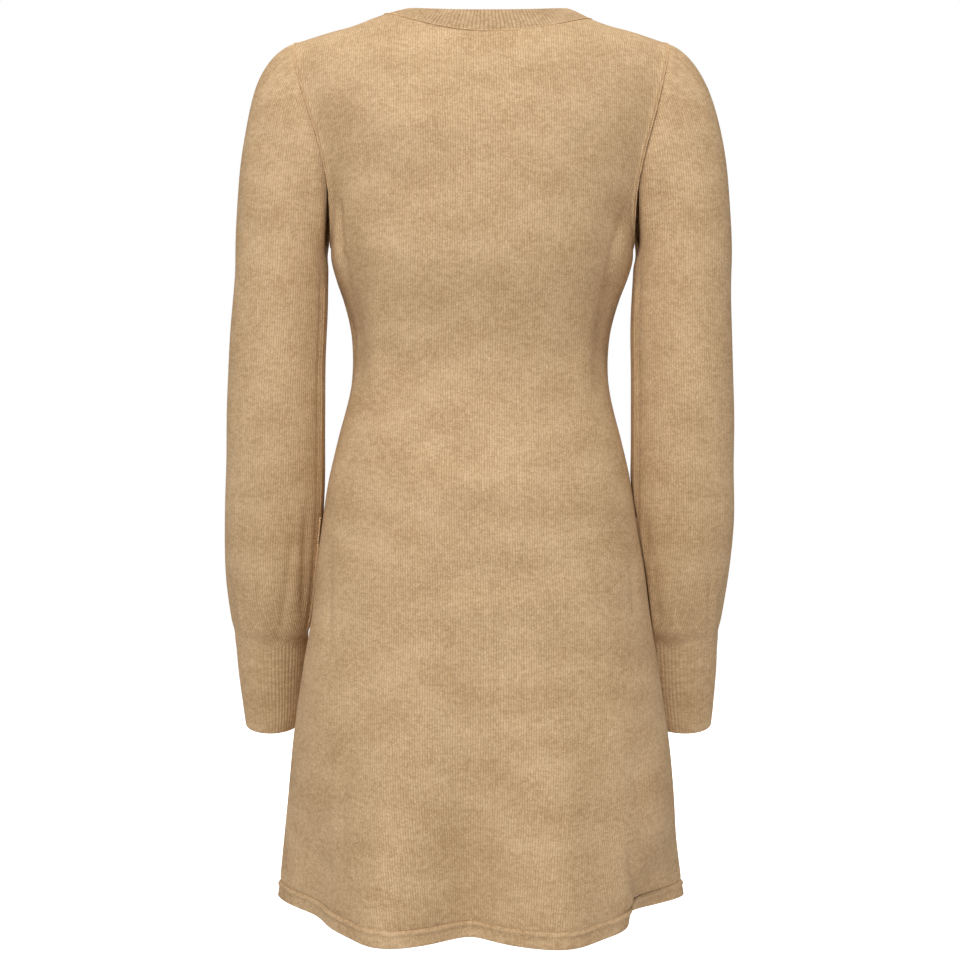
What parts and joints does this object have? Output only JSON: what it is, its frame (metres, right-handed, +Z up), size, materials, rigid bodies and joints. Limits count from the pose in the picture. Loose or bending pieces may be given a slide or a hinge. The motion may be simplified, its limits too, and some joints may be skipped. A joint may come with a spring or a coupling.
{
  "type": "sweater dress",
  "caption": "Hollow long-sleeved knitted sweater dress in its worn shape, with a ribbed neckband, ribbed cuffs, a nipped waist and a flared wavy skirt with a narrow ribbed hem.",
  "frame": {"origin": "middle of the neck opening, level with the tops of the shoulder seams where they meet the neckband", "axes": "+Z up towards the head, -Y the way the front faces, +X towards the wearer's left sleeve"},
  "size_m": [0.4692, 0.3049, 0.8216],
  "materials": {
    "knit": "heathered camel fine-gauge plain knit, soft and matt",
    "rib": "heathered camel one-by-one rib knit, soft and matt"
  },
  "bodies": {
    "root": {"back_panel": "knit", "front_panel": "knit", "sleeve_left": "knit", "sleeve_right": "knit", "cuff_left": "rib", "cuff_right": "rib", "neckband": "rib", "hem_band_back": "rib", "hem_band_front": "rib"}
  },
  "joints": []
}
